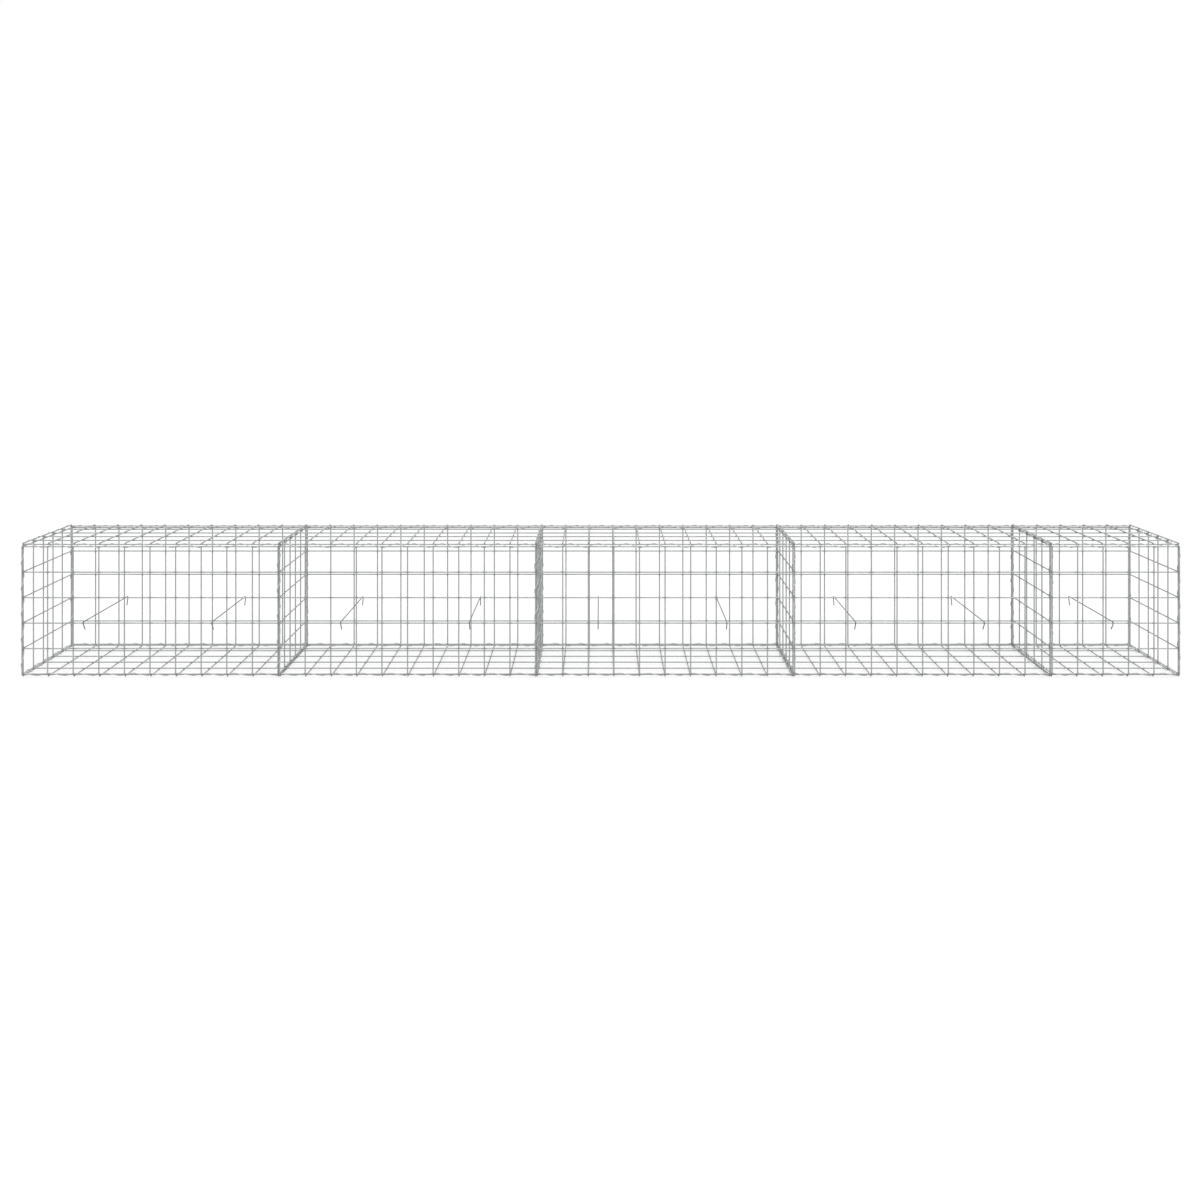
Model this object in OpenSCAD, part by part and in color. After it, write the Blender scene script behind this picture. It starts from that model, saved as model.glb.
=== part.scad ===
// Gabion wall of empty welded-mesh baskets.
// A row of bays stands end to end: front, back, bottom and lid panels for each bay, an end panel at
// either end, a divider between bays, a spiral laced along every seam and cross ties from front to back.
// X runs along the wall, Y from front to back and Z up. The origin is at the bottom centre.

/* [Bays] */
// Number of full bays, before the short bay at the right end
full_bays = 4; // [1:1:5]
// Length of a full bay
bay_l = 1000; // [600:50:1200]
// Length of the short bay
short_bay_l = 500; // [400:50:600]
// Depth of the wall over its front and back wires
wall_depth = 500; // [300:50:800]
// Height of the front, back, end and divider panels over their outer wires
panel_h = 500; // [300:50:800]

/* [Mesh] */
// Nominal mesh of every panel
mesh = 100; // [75:5:125]
// Diameter of the mesh wire
wire_d = 5; // [3:0.25:6]
// Depth that two crossing wires sink into each other at a weld
weld_set = 0.35; // [0.2:0.05:0.4]
// Length of wire left standing past the edge wire of a panel
wire_trim = 0.4; // [0.2:0.1:0.8]
// Clearance between wires of neighbouring panels
seam_gap = 0.3; // [0.2:0.1:0.5]
// Height of the walls' lowest long wire above the long wires of the bottom
wall_rise = 3.2; // [2.6:0.1:4]

/* [Spirals] */
// Diameter of the spiral wire
spiral_d = 2.5; // [2:0.25:3.5]
// Length of wall that one spiral laces on a long seam
spiral_run = 500; // [400:50:600]
// Length left bare at each end of a spiral on a long seam
spiral_end = 7; // [6:1:12]

/* [Cross ties] */
// Diameter of the tie wire
tie_d = 4; // [2:0.25:5]
// Which long wire of the front and back the ties hook over, counted from the bottom
tie_row = 2; // [1:1:3]
// Distance of each tie from the left end of its run
tie_offset = 240; // [220:5:280]
// Length of the straight tail behind each hook
tie_tail = 32; // [15:1:45]
// Angle that the front hook wraps round its wire
front_wrap = 130; // [95:5:150]
// Angle that the back hook wraps round its wire
back_wrap = 112; // [95:5:150]
// How much thinner the straight tail is than the bend, so that it seats inside it
tail_step = 0.04; // [0.02:0.01:0.1]
// Length of the tail that seats inside the bend
tail_seat = 0.3; // [0.1:0.1:0.3]

/* [Hidden] */
wire_sides = 8;
wire_poly_d = wire_d * sqrt(2 * PI / (wire_sides * sin(360 / wire_sides)));
strand_sides = 4;
rings_per_turn = 6;
tie_fn = 24;
galvanised = [0.70, 0.72, 0.72];
spiral_grey = [0.80, 0.82, 0.82];
tie_grey = [0.45, 0.46, 0.47];

// Bays and stations: a station is an end of the wall or the seam between two bays
bays = [for (i = [0:full_bays]) i < full_bays ? bay_l : short_bay_l];
last_bay = full_bays;
last_station = full_bays + 1;
wall_l = full_bays * bay_l + short_bay_l;
function station_x(i) = i > full_bays ? wall_l / 2 : i * bay_l - wall_l / 2;
function bay_x(i) = (station_x(i) + station_x(i + 1)) / 2;
function cells(span) = max(1, round(span / mesh));
function runs(i) = max(1, round(bays[i] / spiral_run));
function run_l(i) = bays[i] / runs(i);
function run_x(i, k) = station_x(i) + (k + 0.5) * run_l(i);

// Centre distances: welded layers, wires side by side, a wire past trimmed ends, panels end to end
lay = wire_d - weld_set;
beside = wire_d + seam_gap;
past_trim = beside + wire_trim;
end_to_end = past_trim + wire_trim;

// Span between the outer wires of each panel
function bay_span(i) = bays[i] - end_to_end;
panel_span = panel_h - wire_d;
wall_cross_y = (wall_depth - wire_d) / 2;
wall_long_y = wall_cross_y - lay;
rim_y = wall_long_y - beside;
end_y = wall_long_y - past_trim;
rim_pitch = 2 * rim_y / cells(wall_depth);
panel_pitch = panel_span / cells(panel_h);
end_x = end_to_end / 2;

// Spirals: each is wound over the widest pair of wires that its seam holds together
function wound_r(half) = (half + (wire_d + spiral_d) / 2 + seam_gap) / cos(180 / rings_per_turn);
sill_rise = lay + past_trim;
station_half = norm([end_to_end, sill_rise]) / 2;
station_r = wound_r(station_half);

// Heights, from the underside of the spirals along the bottom
bottom_cross_z = station_r + spiral_d / 2 - sill_rise / 2;
bottom_long_z = bottom_cross_z + lay;
sill_z = bottom_cross_z + sill_rise;
head_z = sill_z + panel_span;
lid_long_z = head_z + past_trim;
lid_cross_z = lid_long_z + lay;
wall_z0 = bottom_long_z + wall_rise;
wall_z1 = wall_z0 + panel_span;
top_half = [beside, lid_long_z - wall_z1] / 2;
bottom_half = [beside, wall_rise] / 2;

// Directions in which the spirals pass the cross wires of a seam
long_pass = 45;
upright_pass = 120;
level_pass = 60;
end_pass = 180;

// Cross ties
tie_z = wall_z0 + tie_row * panel_pitch;
hook_r = (wire_d + tie_d) / 2 + seam_gap;

function numbered(name, first, last) = [for (i = [first:last]) str(name, "_", i)];

// One straight wire along Z, as a prism with the area of the round wire
module wire(length) {
    cylinder(h = length, d = wire_poly_d, center = true, $fn = wire_sides);
}

// Flat welded panel: long wires along X in the plane, cross wires along Y on the far side of them,
// turned about their own length
module mesh_panel(span_x, span_y, cells_x, cells_y, cross_turn = 0) {
    past_edge = wire_d + 2 * wire_trim;
    for (j = [0:cells_y])
        translate([0, (j / cells_y - 0.5) * span_y, 0])
            rotate([0, 90, 0]) wire(span_x + past_edge);
    for (i = [0:cells_x])
        translate([(i / cells_x - 0.5) * span_x, 0, lay])
            rotate([90, 0, 0]) rotate(cross_turn) wire(span_y + past_edge);
}

// Front wall of one bay, with its uprights outside; the back wall is its mirror image
module wall_panel(i) {
    color(galvanised)
        translate([bay_x(i), -wall_long_y, (wall_z0 + wall_z1) / 2])
            rotate([90, 0, 0])
                mesh_panel(bay_span(i), panel_span, cells(bays[i]), cells(panel_h));
}

module front_panel(i) {
    wall_panel(i);
}

module back_panel(i) {
    mirror([0, 1, 0]) wall_panel(i);
}

// Lid of one bay, with its cross wires on top
module lid(i) {
    color(galvanised)
        translate([bay_x(i), 0, lid_long_z])
            mesh_panel(bay_span(i), 2 * rim_y, cells(bays[i]), cells(wall_depth));
}

// Bottom of one bay, with its cross wires underneath and a flat of each turned to the ground
module bottom_panel(i) {
    color(galvanised)
        translate([bay_x(i), 0, bottom_long_z])
            mirror([0, 0, 1])
                mesh_panel(bay_span(i), 2 * rim_y, cells(bays[i]), cells(wall_depth), 180 / wire_sides);
}

// Upright panel across the wall, with its level wires at x and its uprights to the left of them
module cross_panel(x) {
    color(galvanised)
        translate([x, 0, (sill_z + head_z) / 2])
            rotate([0, 0, 90]) rotate([90, 0, 0]) mirror([0, 0, 1])
                mesh_panel(2 * end_y, panel_span, cells(wall_depth), cells(panel_h));
}

module left_end_panel() {
    cross_panel(station_x(0) + end_x + lay);
}

module right_end_panel() {
    mirror([1, 0, 0]) left_end_panel();
}

module divider(i) {
    cross_panel(station_x(i) + lay / 2);
}

// One spiral along Z, centred, with its strand at the given angle half way along
module spiral(r, pitch, turns, mid_angle) {
    translate([0, 0, -turns * pitch / 2])
        rotate(mid_angle - 180 * turns)
            linear_extrude(height = turns * pitch, twist = -360 * turns, slices = turns * rings_per_turn)
                translate([r, 0]) circle(d = spiral_d, $fn = strand_sides);
}

// Spirals along one long seam, a run at a time; side is -1 in front and 1 behind
module long_spirals(side, z, half, pass) {
    color(spiral_grey)
        for (i = [0:last_bay], k = [0:runs(i) - 1]) {
            turns = cells(run_l(i)) - 0.5;
            translate([run_x(i, k), side * (wall_long_y - half[0]), z])
                rotate([90, 0, 90])
                    spiral(wound_r(norm(half)), (run_l(i) - 2 * spiral_end) / turns, turns, pass + 180);
        }
}

module top_front_spirals() {
    long_spirals(-1, wall_z1 + top_half[1], top_half, -long_pass);
}

module top_back_spirals() {
    long_spirals(1, wall_z1 + top_half[1], top_half, 180 + long_pass);
}

module bottom_front_spirals() {
    long_spirals(-1, wall_z0 - bottom_half[1], bottom_half, long_pass);
}

module bottom_back_spirals() {
    long_spirals(1, wall_z0 - bottom_half[1], bottom_half, 180 - long_pass);
}

// Where the spirals of one station stand, and their turn for the side on which its panel has its uprights
function seam_x(i) = station_x(i) + (i == 0 ? 1 : i == last_station ? -1 : 0) * (end_x + lay / 2);
function turned(i, angle) = i == last_station ? 180 - angle : angle;

// Upright spiral at one station; side is -1 in front and 1 behind
module upright_spiral(i, side) {
    turns = cells(panel_h) - 0.5;
    color(spiral_grey)
        translate([seam_x(i), side * (wall_cross_y + end_y) / 2, (wall_z0 + head_z) / 2])
            spiral(station_r, panel_pitch, turns, turned(i, -side * upright_pass) + 180);
}

// Level spiral across the wall at one station; level is -1 along the bottom and 1 along the lids
module level_spiral(i, level, pass = level_pass) {
    turns = cells(wall_depth) - 0.5;
    color(spiral_grey)
        translate([seam_x(i), 0, (sill_z + head_z) / 2 + level * (panel_span + sill_rise) / 2])
            rotate([90, 0, 0])
                spiral(station_r, rim_pitch, turns, turned(i, -level * pass) + 180);
}

module front_upright_spirals() {
    for (i = [0:last_station]) upright_spiral(i, -1);
}

module back_upright_spirals() {
    for (i = [0:last_station]) upright_spiral(i, 1);
}

module lid_cross_spirals() {
    for (i = [0:last_station]) level_spiral(i, 1);
}

module bottom_cross_spirals() {
    for (i = [1:full_bays]) level_spiral(i, -1);
}

module bottom_end_spirals() {
    for (i = [0, last_station]) level_spiral(i, -1, end_pass);
}

// Hook of a cross tie over the front wire, in the plane across the wall, with its tail
module tie_hook(wrap) {
    rotate([90, 0, 90]) {
        rotate(90) rotate_extrude(angle = wrap, $fn = tie_fn)
            translate([hook_r, 0]) circle(d = tie_d, $fn = tie_fn);
        rotate(90 + wrap) translate([hook_r, -tail_seat, 0])
            rotate([-90, 0, 0]) cylinder(d = tie_d - tail_step, h = tie_tail + tail_seat, $fn = tie_fn);
    }
}

// Cross tie from the front wall to the back wall, at the height of the wires that it hooks over
module cross_tie() {
    translate([0, wall_long_y, hook_r])
        rotate([90, 0, 0]) cylinder(d = tie_d, h = 2 * wall_long_y, $fn = tie_fn);
    translate([0, -wall_long_y, 0]) tie_hook(front_wrap);
    mirror([0, 1, 0]) translate([0, -wall_long_y, 0]) tie_hook(back_wrap);
}

// The cross ties of one bay, one in each run
module cross_ties(i) {
    color(tie_grey)
        for (k = [0:runs(i) - 1])
            translate([station_x(i) + k * run_l(i) + tie_offset, 0, tie_z]) cross_tie();
}

for (i = [0:last_bay]) {
    front_panel(i);
    back_panel(i);
    bottom_panel(i);
    lid(i);
    cross_ties(i);
}
for (i = [1:full_bays])
    divider(i);
left_end_panel();
right_end_panel();
top_front_spirals();
top_back_spirals();
bottom_front_spirals();
bottom_back_spirals();
front_upright_spirals();
back_upright_spirals();
lid_cross_spirals();
bottom_cross_spirals();
bottom_end_spirals();
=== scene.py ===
"""Looks of the empty gabion wall: welded wires, wound seam spirals and bent ties in galvanised steel."""

import math

import bmesh
import bpy
import numpy as np
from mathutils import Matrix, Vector
from mathutils.kdtree import KDTree


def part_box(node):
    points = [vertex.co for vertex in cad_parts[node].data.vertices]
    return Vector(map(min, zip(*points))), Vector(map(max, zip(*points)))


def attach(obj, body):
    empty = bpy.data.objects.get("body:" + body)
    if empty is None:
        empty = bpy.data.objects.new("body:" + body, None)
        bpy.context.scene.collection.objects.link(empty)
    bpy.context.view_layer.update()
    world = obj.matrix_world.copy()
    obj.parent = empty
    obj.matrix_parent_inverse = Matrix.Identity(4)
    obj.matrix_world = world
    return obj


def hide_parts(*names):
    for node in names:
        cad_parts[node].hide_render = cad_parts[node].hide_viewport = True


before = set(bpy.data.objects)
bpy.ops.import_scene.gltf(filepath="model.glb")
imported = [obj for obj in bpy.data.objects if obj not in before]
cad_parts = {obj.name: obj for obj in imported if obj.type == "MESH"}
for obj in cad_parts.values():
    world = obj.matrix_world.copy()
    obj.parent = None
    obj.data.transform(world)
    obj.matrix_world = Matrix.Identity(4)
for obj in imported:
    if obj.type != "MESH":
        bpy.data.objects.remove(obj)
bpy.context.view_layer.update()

# Mesh wire, in metres
MESH = 0.1
WIRE_D = 0.005
WIRE_TRIM = 0.0004
WELD_SET = 0.00035
LAY = WIRE_D - WELD_SET
EDGE = WIRE_D / 2 + WIRE_TRIM
WIRE_SIDES = 14
CUT_BEVEL = 0.0005

# Weld beads between crossing wires
BEAD_ACROSS = 0.003
BEAD_THICK = 0.0014
BEAD_STEPS = 2
WELD_RINGS = (0.004, 0.012)
WELD_HEAT = 0.011

# Seam spirals, with the angles at which they pass cross wires in degrees
SPIRAL_D = 0.0025
SPIRAL_RUN = 0.5
SPIRAL_END = 0.007
SPIRAL_SIDES = 10
SPIRAL_RINGS = 28
SPIRAL_SLACK = 0.00015
FLOOR_CLEAR = 0.0003
LOOP_STEPS = 360
HALF_TURN = 0.5
LONG_PASS = 45
UPRIGHT_PASS = 120
LEVEL_PASS = 60
END_PASS = 180

# Cross ties
TIE_D = 0.004
TIE_ROW = 2
TIE_TAIL = 0.032
FRONT_WRAP = 130
BACK_WRAP = 112
TIE_GAP = 0.0003
TIE_SIDES = 12
TIE_BEND_STEPS = 16
HOOK_R = (WIRE_D + TIE_D) / 2 + TIE_GAP

# Zinc finishes, by material slot; the spiral wire's colours are partly bright zinc and partly a painted
# highlight
FINISHES = {
    "galvanised_mesh": {
        "light": (0.54, 0.56, 0.56),
        "dark": (0.4, 0.418, 0.418),
        "heat": (0.345, 0.35, 0.34),
        "roughness": 0.5,
        "spangle_scale": 420,
    },
    # Spiral wire: near-white, well above the mesh, partly its own bright zinc and partly a painted
    # highlight so its strands read as bright dashes
    "spiral_wire": {
        "light": (0.8, 0.81, 0.81),
        "dark": (0.64, 0.655, 0.655),
        "roughness": 0.4,
        "spangle_scale": 600,
    },
    "tie_wire": {
        "light": (0.22, 0.226, 0.23),
        "dark": (0.14, 0.145, 0.148),
        "roughness": 0.46,
        "spangle_scale": 520,
    },
}
METALLIC = 0.35
SPANGLE_SHARE = 0.45
DARK_BELOW, LIGHT_ABOVE = 0.25, 0.7
CLOUD_SCALE = 35
CLOUD_DETAIL = 4
CLOUD_ROUGHNESS = 0.6
GRAIN_SCALE = 2600
GRAIN_DETAIL = 3
GRAIN_STRENGTH = 0.25
GRAIN_HEIGHT = 0.0002
DARK_DULLER = 0.1
LIGHT_GLOSSIER = 0.08
WELD_DULLER = 0.18

# Camera, from the photo's perspective
PHOTO_SIZE = 1200
FOCAL_PX = 1340.8
HORIZON_ROW = 324
SENSOR = 36
CAMERA_LEFT = 0.0028
CAMERA_BACK = 5.206
CAMERA_RISE = 1.3603

# Stage
FLOOR_SIZE = 400
FLOOR_GREY = 0.35
FLOOR_LIFT = 0.73
SKY_LEVEL = 0.55
KEY_LEVEL = 0.35
KEY_DIRECTION = (-0.55, 0.75, -1.0)
FILL_LEVEL = 0.15
FILL_DIRECTION = (0.7, 0.55, -0.8)
LAMP_SPREAD = math.radians(35)
SHARP_ANGLE = math.radians(40)

X, Y, Z = range(3)
BAYS = sum(name.startswith("front_panel_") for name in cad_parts)
DIVIDERS = BAYS - 1


# Geometry helpers

def axis(index, sign=1):
    """Unit vector along one axis."""
    direction = np.zeros(3)
    direction[index] = sign
    return direction


def tube(path, radius, sides):
    """Vertices and faces of a closed round wire along a path, with bevelled cut ends."""
    path = np.asarray(path, float)
    tangents = np.gradient(path, axis=0)
    tangents /= np.linalg.norm(tangents, axis=1)[:, None]
    first, last = CUT_BEVEL * tangents[0], CUT_BEVEL * tangents[-1]
    centres = np.vstack([path[0], path[0] + first, path[1:-1], path[-1] - last, path[-1]])
    tangents = np.vstack([tangents[0], tangents, tangents[-1]])
    radii = np.full(len(centres), radius)
    radii[[0, -1]] = radius - CUT_BEVEL

    side = np.cross(tangents[0], axis(int(np.argmin(np.abs(tangents[0])))))
    turns = np.linspace(0, 2 * math.pi, sides, endpoint=False)
    rings = []
    for centre, tangent, reach in zip(centres, tangents, radii):
        side = side - tangent * (side @ tangent)
        side /= np.linalg.norm(side)
        up = np.cross(tangent, side)
        rings.append(centre + reach * (np.outer(np.cos(turns), side) + np.outer(np.sin(turns), up)))

    faces = [tuple(reversed(range(sides)))]
    for i in range(len(centres) - 1):
        for j in range(sides):
            k = (j + 1) % sides
            faces.append((i * sides + j, i * sides + k, (i + 1) * sides + k, (i + 1) * sides + j))
    faces.append(tuple(range((len(centres) - 1) * sides, len(centres) * sides)))
    return np.vstack(rings), faces


def bead(centre, out_axis):
    """Vertices and faces of one weld bead, squeezed flat between two wires."""
    ball = bmesh.new()
    bmesh.ops.create_icosphere(ball, subdivisions=BEAD_STEPS, radius=1)
    size = np.full(3, BEAD_ACROSS)
    size[out_axis] = BEAD_THICK
    verts = np.array([v.co for v in ball.verts]) * size + centre
    faces = [tuple(v.index for v in face.verts) for face in ball.faces]
    ball.free()
    return verts, faces


def joined_mesh(name, parts):
    """One mesh from several lists of vertices and faces."""
    verts, faces, start = [], [], 0
    for part_verts, part_faces in parts:
        verts.append(part_verts)
        faces += [tuple(start + i for i in face) for face in part_faces]
        start += len(part_verts)
    mesh = bpy.data.meshes.new(name)
    mesh.from_pydata(np.vstack(verts).tolist(), [], faces)
    return mesh


def add_object(name, data):
    """A new object in the scene."""
    obj = bpy.data.objects.new(name, data)
    bpy.context.scene.collection.objects.link(obj)
    return obj


def fused(name, meshes):
    """One closed mesh from closed meshes that overlap each other."""
    objects = [add_object(f"{name}_raw_{i}", mesh) for i, mesh in enumerate(meshes)]
    for other in objects[1:]:
        union = objects[0].modifiers.new("union", "BOOLEAN")
        union.operation = "UNION"
        union.solver = "MANIFOLD"
        union.object = other
    depsgraph = bpy.context.evaluated_depsgraph_get()
    mesh = bpy.data.meshes.new_from_object(objects[0].evaluated_get(depsgraph))
    mesh.name = name
    for obj, raw in zip(objects, meshes):
        bpy.data.objects.remove(obj)
        bpy.data.meshes.remove(raw)
    return mesh


def finish_piece(mesh, node, slot):
    """Puts a mesh in the place of a CAD node."""
    mesh.shade_smooth()
    mesh.set_sharp_from_angle(angle=SHARP_ANGLE)
    mesh.materials.clear()
    mesh.materials.append(MATERIALS[slot])
    piece = add_object(mesh.name, mesh)
    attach(piece, "root")
    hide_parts(node)


# Materials

def empty_tree(owner):
    """The node tree of a material or world, with nothing in it."""
    owner.use_nodes = True
    owner.node_tree.nodes.clear()
    return owner.node_tree


def add_node(tree, kind, inputs=None, **settings):
    """A shader node with its settings, plain input values and incoming links."""
    made = tree.nodes.new(kind)
    for name, value in settings.items():
        setattr(made, name, value)
    for name, value in (inputs or {}).items():
        if isinstance(value, bpy.types.NodeSocket):
            tree.links.new(value, made.inputs[name])
        else:
            made.inputs[name].default_value = value
    return made


def ramp(tree, source, dark, light):
    """A colour ramp from the dark to the light patches."""
    made = add_node(tree, "ShaderNodeValToRGB", {"Fac": source})
    stops = ((DARK_BELOW, dark), (LIGHT_ABOVE, light))
    for element, (position, colour) in zip(made.color_ramp.elements, stops):
        element.position = position
        element.color = (*colour, 1)
    return made.outputs["Color"]


def galvanised(name, light, dark, roughness, spangle_scale, heat=None):
    """Zinc-coated wire: faint spangle, cloudy patches, fine grain and duller, browner welds."""
    material = bpy.data.materials.new(name)
    tree = empty_tree(material)
    place = add_node(tree, "ShaderNodeTexCoord").outputs["Object"]

    spangle = add_node(tree, "ShaderNodeTexVoronoi", {"Vector": place, "Scale": spangle_scale})
    cloud = add_node(tree, "ShaderNodeTexNoise", {
        "Vector": place, "Scale": CLOUD_SCALE, "Detail": CLOUD_DETAIL, "Roughness": CLOUD_ROUGHNESS})
    grain = add_node(tree, "ShaderNodeTexNoise", {
        "Vector": place, "Scale": GRAIN_SCALE, "Detail": GRAIN_DETAIL})

    flake = add_node(tree, "ShaderNodeSeparateColor", {"Color": spangle.outputs["Color"]}).outputs["Red"]
    blend = add_node(tree, "ShaderNodeMix", {
        "Factor": SPANGLE_SHARE, "A": cloud.outputs["Fac"], "B": flake}).outputs["Result"]
    zinc = ramp(tree, blend, dark, light)
    weld = add_node(tree, "ShaderNodeAttribute", attribute_name="weld").outputs["Fac"]
    tint = add_node(tree, "ShaderNodeMix", {
        "Factor": weld, "A": zinc, "B": (*(heat or dark), 1)}, data_type="RGBA")

    gloss = add_node(tree, "ShaderNodeMapRange", {
        "Value": blend, "To Min": roughness + DARK_DULLER, "To Max": roughness - LIGHT_GLOSSIER})
    dulled = add_node(tree, "ShaderNodeMath", {
        0: weld, 1: WELD_DULLER, 2: gloss.outputs["Result"]}, operation="MULTIPLY_ADD")
    bump = add_node(tree, "ShaderNodeBump", {
        "Height": grain.outputs["Fac"], "Strength": GRAIN_STRENGTH, "Distance": GRAIN_HEIGHT})

    shader = add_node(tree, "ShaderNodeBsdfPrincipled", {
        "Base Color": tint.outputs["Result"], "Roughness": dulled.outputs["Value"],
        "Normal": bump.outputs["Normal"], "Metallic": METALLIC})
    add_node(tree, "ShaderNodeOutputMaterial", {"Surface": shader.outputs["BSDF"]})
    return material


MATERIALS = {slot: galvanised(slot, **finish) for slot, finish in FINISHES.items()}


# Welded panels

class Panel:
    """Wires of one CAD panel: long wires run along one axis, and cross wires lie on their outer side."""

    def __init__(self, node, along, across, out, side):
        lo, hi = (np.array(corner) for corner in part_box(node))
        middle = (lo[out] + hi[out]) / 2
        self.node, self.along, self.across, self.out = node, along, across, out
        self.lo, self.hi = lo, hi
        self.long_layer = middle - side * LAY / 2
        self.cross_layer = middle + side * LAY / 2
        self.long_at = self.spread(across)
        self.cross_at = self.spread(along)

    def spread(self, index):
        """Where the wires stand along one axis."""
        first, last = self.lo[index] + EDGE, self.hi[index] - EDGE
        return np.linspace(first, last, round((last - first) / MESH) + 1)

    def wire(self, run, place_axis, place, layer, welds):
        """One wire along the run axis, with rings near its welds."""
        near = [weld + sign * step for weld in welds for step in WELD_RINGS for sign in (-1, 1)]
        stops = [self.lo[run], self.hi[run]]
        stops += [s for s in near if stops[0] + EDGE < s < stops[1] - EDGE]
        path = np.zeros((len(stops), 3))
        path[:, run] = sorted(stops)
        path[:, place_axis] = place
        path[:, self.out] = layer
        return tube(path, WIRE_D / 2, WIRE_SIDES)

    def welds(self):
        """Centres of the welds."""
        centres = np.zeros((len(self.long_at), len(self.cross_at), 3))
        centres[..., self.along] = self.cross_at
        centres[..., self.across] = self.long_at[:, None]
        centres[..., self.out] = (self.long_layer + self.cross_layer) / 2
        return centres.reshape(-1, 3)

    def build(self):
        """The welded panel as one piece."""
        name = f"{self.node}_wires"
        welds = self.welds()
        long_wires = [self.wire(self.along, self.across, at, self.long_layer, self.cross_at)
                      for at in self.long_at]
        cross_wires = [self.wire(self.across, self.along, at, self.cross_layer, self.long_at)
                       for at in self.cross_at]
        beads = [bead(centre, self.out) for centre in welds]
        mesh = fused(name, [joined_mesh(f"{name}_{i}", parts)
                            for i, parts in enumerate((long_wires, cross_wires, beads))])
        mark_welds(mesh, welds)
        finish_piece(mesh, self.node, "galvanised_mesh")


def mark_welds(mesh, welds):
    """Stores how near each point is to a weld, for the material's heat tint."""
    tree = KDTree(len(welds))
    for i, centre in enumerate(welds):
        tree.insert(centre, i)
    tree.balance()
    near = [max(0.0, 1 - tree.find(v.co)[2] / WELD_HEAT) for v in mesh.vertices]
    mesh.attributes.new("weld", "FLOAT", "POINT").data.foreach_set("value", near)


fronts = [Panel(f"front_panel_{i + 1}", X, Z, Y, -1) for i in range(BAYS)]
backs = [Panel(f"back_panel_{i + 1}", X, Z, Y, 1) for i in range(BAYS)]
bottoms = [Panel(f"bottom_panel_{i + 1}", X, Y, Z, -1) for i in range(BAYS)]
lids = [Panel(f"lid_{i + 1}", X, Y, Z, 1) for i in range(BAYS)]
left_end = Panel("left_end_panel", Y, Z, X, -1)
right_end = Panel("right_end_panel", Y, Z, X, 1)
dividers = [Panel(f"divider_{i + 1}", Y, Z, X, -1) for i in range(DIVIDERS)]
cross_panels = [left_end, *dividers, right_end]
for panel in [*fronts, *backs, *bottoms, *lids, *cross_panels]:
    panel.build()


# Seam spirals

def spiral(wires, slack, pass_angle, middle, pitch, turns, right, up, forward):
    """A spiral round wires that run forward, which passes the seam's cross wires at the given angle."""
    wires = np.array(wires)
    bends = np.linspace(0, 2 * math.pi, LOOP_STEPS + 1)
    directions = np.column_stack([np.cos(bends), np.sin(bends)])
    reach = (WIRE_D + SPIRAL_D) / 2 + slack
    loop = wires[np.argmax(directions @ wires.T, axis=1)] + reach * directions
    way_round = np.append(0, np.cumsum(np.linalg.norm(np.diff(loop, axis=0), axis=1)))
    way_round /= way_round[-1]

    steps = np.linspace(-turns / 2, turns / 2, round(turns * SPIRAL_RINGS) + 1)
    passing = np.interp(math.radians(pass_angle % 360), bends, way_round)
    at = (passing + HALF_TURN + steps) % 1
    path = (np.array(middle) + np.outer(steps * pitch, forward)
            + np.outer(np.interp(at, way_round, loop[:, 0]), right)
            + np.outer(np.interp(at, way_round, loop[:, 1]), up))
    return tube(path, SPIRAL_D / 2, SPIRAL_SIDES)


def finish_spirals(node, spirals):
    finish_piece(joined_mesh(f"{node}_wound", spirals), node, "spiral_wire")


def long_seam(node, walls, covers, row, pass_angle):
    """Spirals along a seam between the walls and the lids or bottoms, a run at a time."""
    spirals = []
    for i, (wall, cover) in enumerate(zip(walls, covers)):
        rim = cover.long_at[0 if wall.long_layer < 0 else -1]
        wires = [(wall.long_layer, wall.long_at[row]), (rim, cover.long_layer)]
        start, end = stations[i], stations[i + 1]
        runs = round((end - start) / SPIRAL_RUN)
        run = (end - start) / runs
        turns = round(run / MESH) - HALF_TURN
        pitch = (run - 2 * SPIRAL_END) / turns
        for k in range(runs):
            middle = (start + (k + 0.5) * run, 0, 0)
            spirals.append(spiral(wires, SPIRAL_SLACK, pass_angle, middle, pitch, turns,
                                  axis(Y), axis(Z), axis(X)))
    finish_spirals(node, spirals)


def edge_x(panels, station):
    """Where the edge wires of the one or two panels stand that meet at a station."""
    before = [panel.cross_at[-1] for panel in panels[station - 1:station]]
    after = [panel.cross_at[0] for panel in panels[station:station + 1]]
    return before + after


def turned(station, angle):
    """The panel at the last station has its uprights on the other side, and its spirals wind to suit."""
    return 180 - angle if station == len(cross_panels) - 1 else angle


def upright_spiral(station, side, pass_angle):
    """Spiral up the front (side -1) or back (side 1) edge of the cross panel at a station."""
    panel = cross_panels[station]
    wires = [(x, side * abs(fronts[0].cross_layer)) for x in edge_x(fronts, station)]
    wires.append((panel.cross_layer, side * panel.cross_at[-1]))
    middle = (0, 0, (fronts[0].long_at[0] + panel.long_at[-1]) / 2)
    return spiral(wires, SPIRAL_SLACK, turned(station, -side * pass_angle), middle,
                  panel.long_at[1] - panel.long_at[0], len(panel.long_at) - 1 - HALF_TURN,
                  axis(X), axis(Y), axis(Z))


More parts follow.
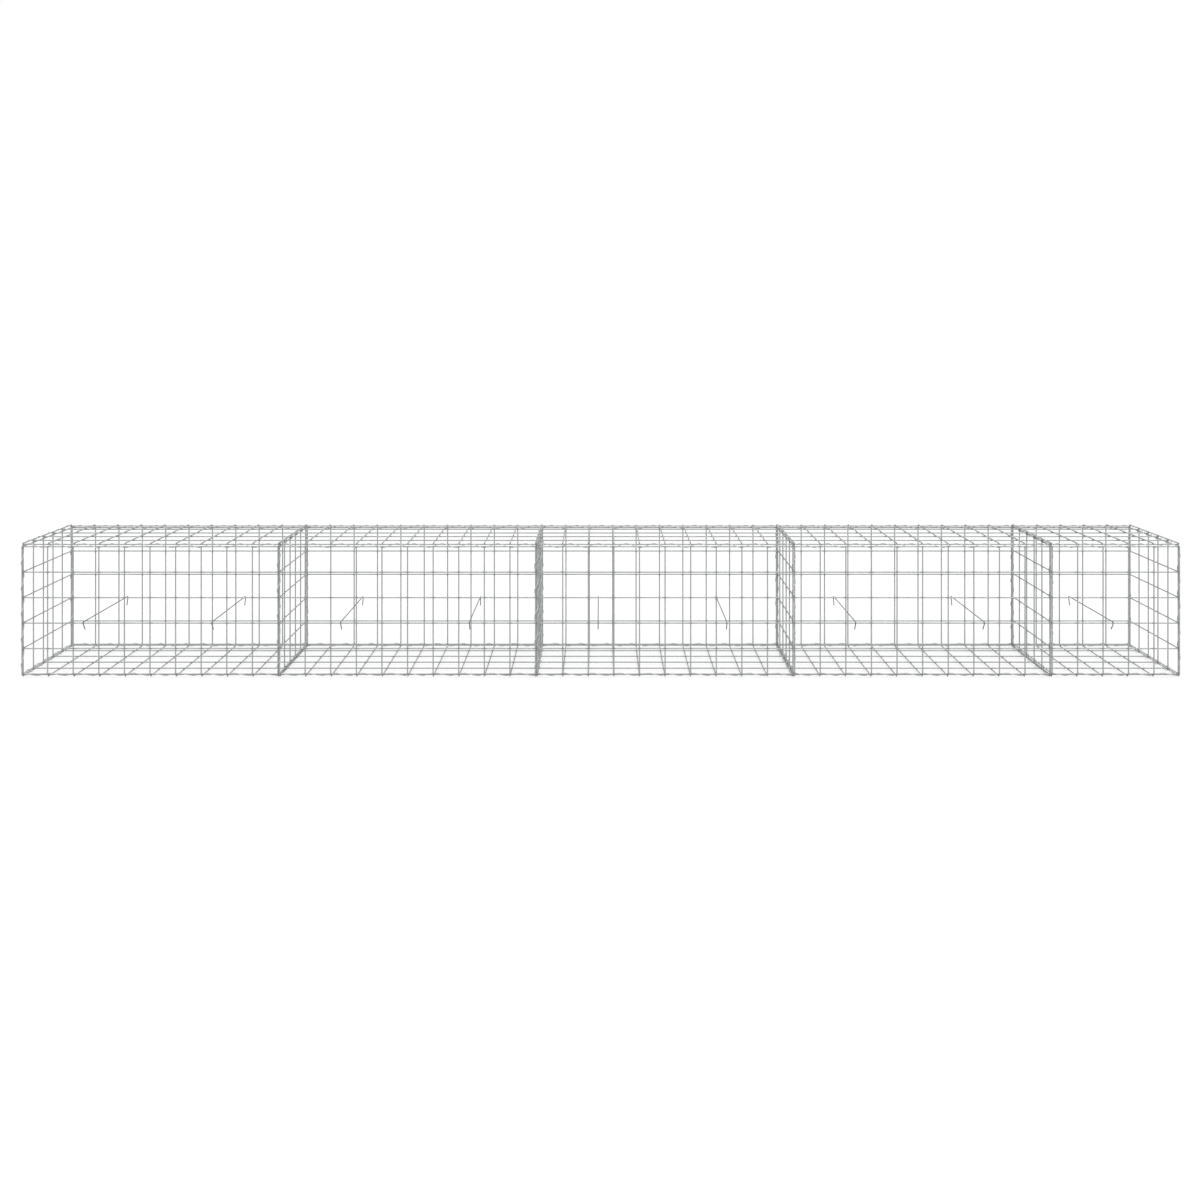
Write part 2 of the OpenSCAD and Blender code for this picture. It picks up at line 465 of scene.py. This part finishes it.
def level_spiral(station, level, pass_angle):
    """Spiral across the wall along the bottom (level -1) or the lids (level 1) at a station."""
    panel = cross_panels[station]
    covers, row, slack = (lids, -1, SPIRAL_SLACK) if level > 0 else (bottoms, 0, ground_slack)
    rows_at = covers[0].long_at
    wires = [(x, covers[0].cross_layer) for x in edge_x(covers, station)]
    wires.append((panel.long_layer, panel.long_at[row]))
    return spiral(wires, slack, turned(station, -level * pass_angle), (0, 0, 0),
                  rows_at[1] - rows_at[0], len(rows_at) - 1 - HALF_TURN,
                  axis(X), axis(Z), axis(Y, -1))


def station_seams(node, one_spiral, at_stations, place, pass_angle):
    """One node of spirals, at several stations."""
    finish_spirals(node, [one_spiral(station, place, pass_angle) for station in at_stations])


ground_slack = bottoms[0].cross_layer - WIRE_D / 2 - SPIRAL_D - FLOOR_CLEAR
gap = fronts[1].lo[X] - fronts[0].hi[X]
stations = [fronts[0].lo[X] - gap / 2] + [panel.hi[X] + gap / 2 for panel in fronts]
long_seam("top_front_spirals", fronts, lids, -1, -LONG_PASS)
long_seam("top_back_spirals", backs, lids, -1, 180 + LONG_PASS)
long_seam("bottom_front_spirals", fronts, bottoms, 0, LONG_PASS)
long_seam("bottom_back_spirals", backs, bottoms, 0, 180 - LONG_PASS)

every = range(len(cross_panels))
station_seams("front_upright_spirals", upright_spiral, every, -1, UPRIGHT_PASS)
station_seams("back_upright_spirals", upright_spiral, every, 1, UPRIGHT_PASS)
station_seams("lid_cross_spirals", level_spiral, every, 1, LEVEL_PASS)
station_seams("bottom_cross_spirals", level_spiral, every[1:-1], -1, LEVEL_PASS)
station_seams("bottom_end_spirals", level_spiral, (every[0], every[-1]), -1, END_PASS)


# Cross ties

def hook_path(wrap):
    """A hook over the front wire, in the plane across the wall, from its tail to the straight tie."""
    angles = np.radians(np.linspace(90 + wrap, 90, TIE_BEND_STEPS + 1))
    bend = HOOK_R * np.column_stack([np.cos(angles), np.sin(angles)])
    tail = bend[0] + TIE_TAIL * np.array([-math.sin(angles[0]), math.cos(angles[0])])
    return np.vstack([tail, bend])


def tie_path(x, wall_y, z):
    """Route of one tie, from the tail of its front hook to the tail of its back hook."""
    front = hook_path(FRONT_WRAP) + (-wall_y, z)
    back = hook_path(BACK_WRAP) * (-1, 1) + (wall_y, z)
    route = np.vstack([front, back[::-1]])
    return np.column_stack([np.full(len(route), x), route])


def bay_ties(node, wall):
    """The one or two ties of a bay, hooked over the long wires of its front and back."""
    lo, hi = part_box(node)
    ties_x = sorted({round(lo.x + TIE_D / 2, 4), round(hi.x - TIE_D / 2, 4)})
    wall_y, z = abs(wall.long_layer), wall.long_at[TIE_ROW]
    ties = [tube(tie_path(x, wall_y, z), TIE_D / 2, TIE_SIDES) for x in ties_x]
    finish_piece(joined_mesh(f"{node}_bent", ties), node, "tie_wire")


for i, wall in enumerate(fronts):
    bay_ties(f"cross_ties_{i + 1}", wall)


# Stage, light and camera

def seen_directly(tree):
    """1 where a surface is seen, in a reflection or through glass too, and 0 where it lights others."""
    rays = add_node(tree, "ShaderNodeLightPath").outputs
    seen = rays["Is Camera Ray"]
    for kind in ("Is Glossy Ray", "Is Transmission Ray"):
        seen = add_node(tree, "ShaderNodeMath", {0: seen, 1: rays[kind]}, operation="MAXIMUM").outputs[0]
    return seen


def pale_floor():
    """Material that reads as white where it is seen, and keeps the shadow of the object."""
    material = bpy.data.materials.new("pale_floor")
    tree = empty_tree(material)
    lift = add_node(tree, "ShaderNodeMath", {0: seen_directly(tree), 1: FLOOR_LIFT}, operation="MULTIPLY")
    matte = add_node(tree, "ShaderNodeBsdfDiffuse", {"Color": (FLOOR_GREY, FLOOR_GREY, FLOOR_GREY, 1)})
    glow = add_node(tree, "ShaderNodeEmission", {"Strength": lift.outputs[0]})
    both = add_node(tree, "ShaderNodeAddShader", {0: matte.outputs[0], 1: glow.outputs[0]})
    add_node(tree, "ShaderNodeOutputMaterial", {"Surface": both.outputs[0]})
    return material


def add_floor():
    """A wide flat floor at ground level."""
    half = FLOOR_SIZE / 2
    corners = [(-half, -half, 0), (half, -half, 0), (half, half, 0), (-half, half, 0)]
    mesh = bpy.data.meshes.new("floor")
    mesh.from_pydata(corners, [], [(0, 1, 2, 3)])
    mesh.materials.append(pale_floor())
    add_object("floor", mesh)


def studio_world():
    """An even sky: white where it is seen, and at a plain level where it lights the object."""
    world = bpy.data.worlds.new("studio")
    tree = empty_tree(world)
    level = add_node(tree, "ShaderNodeMapRange", {
        "Value": seen_directly(tree), "To Min": SKY_LEVEL, "To Max": 1.0})
    sky = add_node(tree, "ShaderNodeBackground", {
        "Color": (1, 1, 1, 1), "Strength": level.outputs["Result"]})
    add_node(tree, "ShaderNodeOutputWorld", {"Surface": sky.outputs[0]})
    return world


def soft_sun(name, direction, level):
    """A broad lamp that lights a facing white surface to the given level, the same all over the stage."""
    lamp = bpy.data.lights.new(name, "SUN")
    lamp.angle = LAMP_SPREAD
    lamp.energy = level * math.pi
    add_object(name, lamp).rotation_euler = Vector(direction).to_track_quat("-Z", "Y").to_euler()


def photo_camera():
    """A level camera in the photo's place, shifted to the photo's framing."""
    lens = bpy.data.cameras.new("camera")
    lens.sensor_width = SENSOR
    lens.lens = SENSOR * FOCAL_PX / PHOTO_SIZE
    lens.shift_y = (HORIZON_ROW - PHOTO_SIZE / 2) / PHOTO_SIZE
    camera = add_object("camera", lens)
    front = fronts[0]
    camera.location = (-CAMERA_LEFT, front.cross_layer - CAMERA_BACK, front.long_at[0] + CAMERA_RISE)
    camera.rotation_euler = (math.pi / 2, 0, 0)
    return camera


add_floor()
bpy.context.scene.world = studio_world()
soft_sun("key", KEY_DIRECTION, KEY_LEVEL)
soft_sun("fill", FILL_DIRECTION, FILL_LEVEL)
bpy.context.scene.camera = photo_camera()
bpy.context.scene.view_settings.view_transform = "Standard"

bpy.context.view_layer.update()
